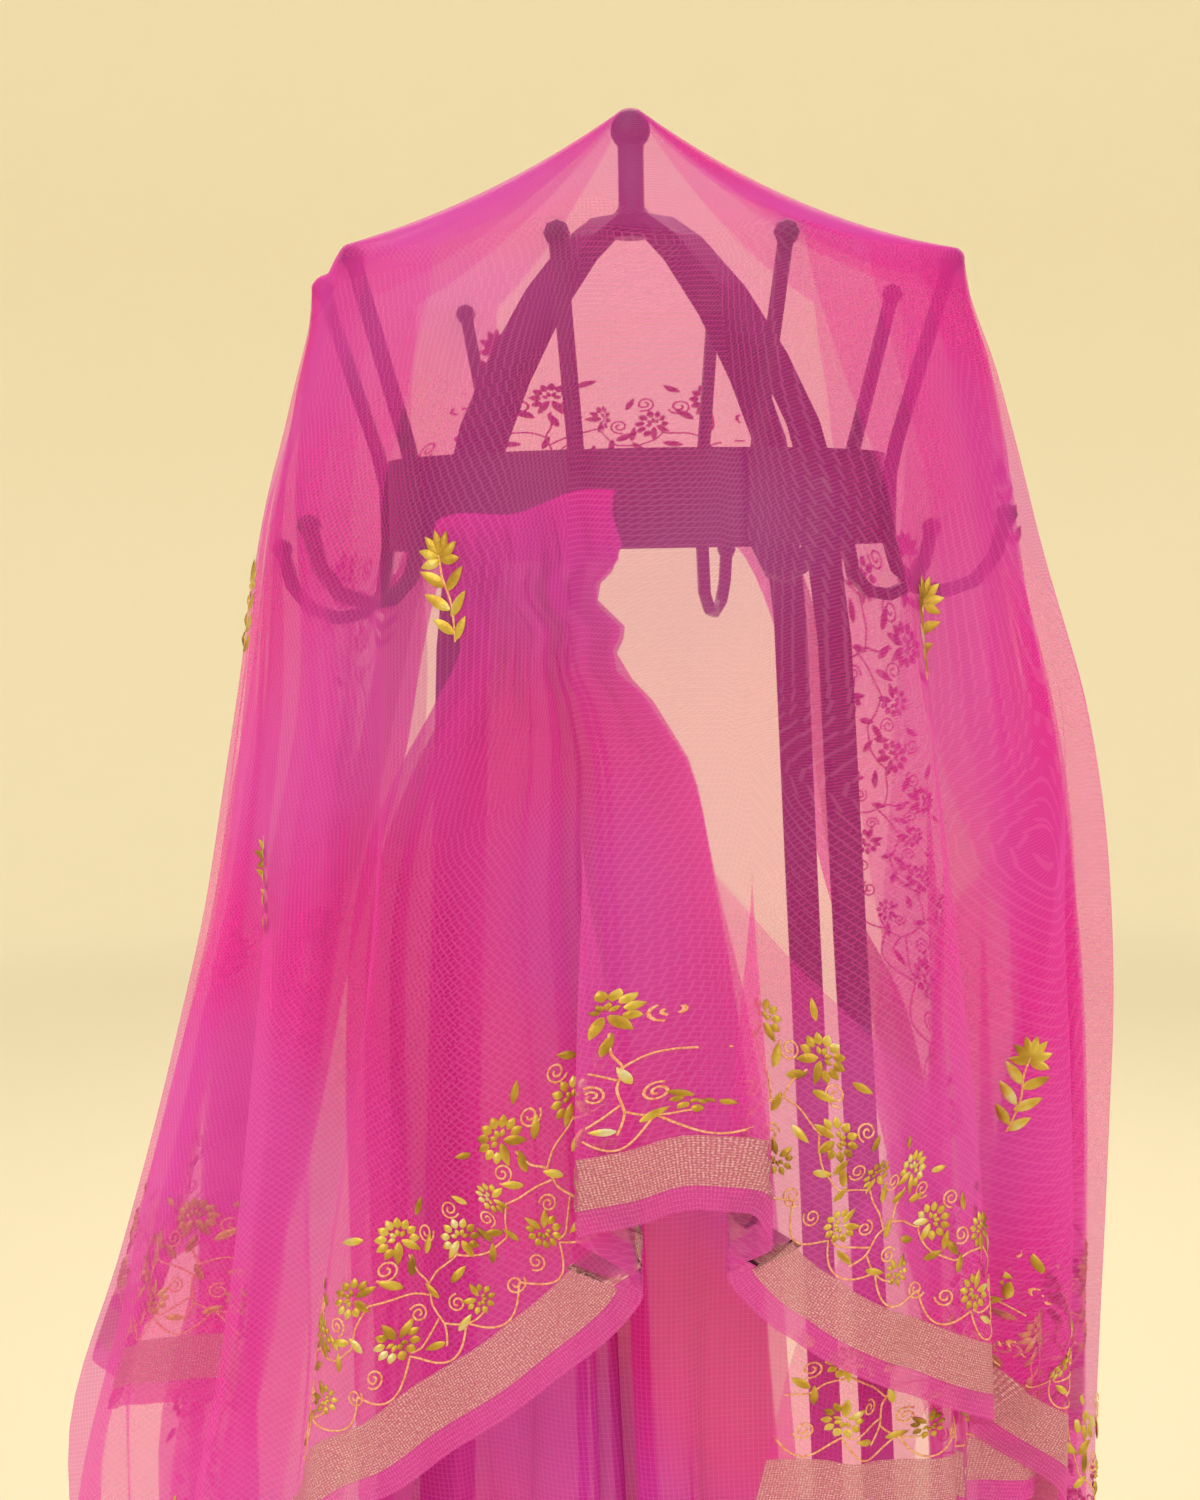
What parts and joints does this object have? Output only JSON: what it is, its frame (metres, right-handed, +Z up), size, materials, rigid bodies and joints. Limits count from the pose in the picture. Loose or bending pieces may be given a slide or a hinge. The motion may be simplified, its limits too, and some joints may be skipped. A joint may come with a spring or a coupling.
{
  "type": "gota patti saree over a coat stand",
  "caption": "Sheer checked saree with gota ribbon flowers, thrown over a tall metal coat stand as a tent, short in front and long at both sides, with a pleated fall from one hook.",
  "frame": {"origin": "on the floor, at the bottom centre of the whole object's box", "axes": "+Z up, -Y towards the front, where the cloth is shortest and the pleated fall shows under it"},
  "size_m": [0.6168, 0.4566, 1.8424],
  "materials": {
    "muslin": "sheer checked cotton and silk muslin, bright pink, with a woven metallic border and stitched ribbon flowers",
    "painted_steel": "near-black paint, satin"
  },
  "bodies": {
    "root": {"saree": "muslin", "stand_knob": "painted_steel", "stand_ring": "painted_steel", "stand_arch_1": "painted_steel", "stand_arch_2": "painted_steel", "stand_arch_3": "painted_steel", "stand_arch_4": "painted_steel", "stand_leg_1": "painted_steel", "stand_leg_2": "painted_steel", "stand_leg_3": "painted_steel", "stand_leg_4": "painted_steel", "stand_hook_1": "painted_steel", "stand_hook_2": "painted_steel", "stand_hook_3": "painted_steel", "stand_hook_4": "painted_steel", "stand_hook_5": "painted_steel", "stand_hook_6": "painted_steel", "stand_hook_7": "painted_steel", "stand_hook_8": "painted_steel"}
  },
  "joints": []
}
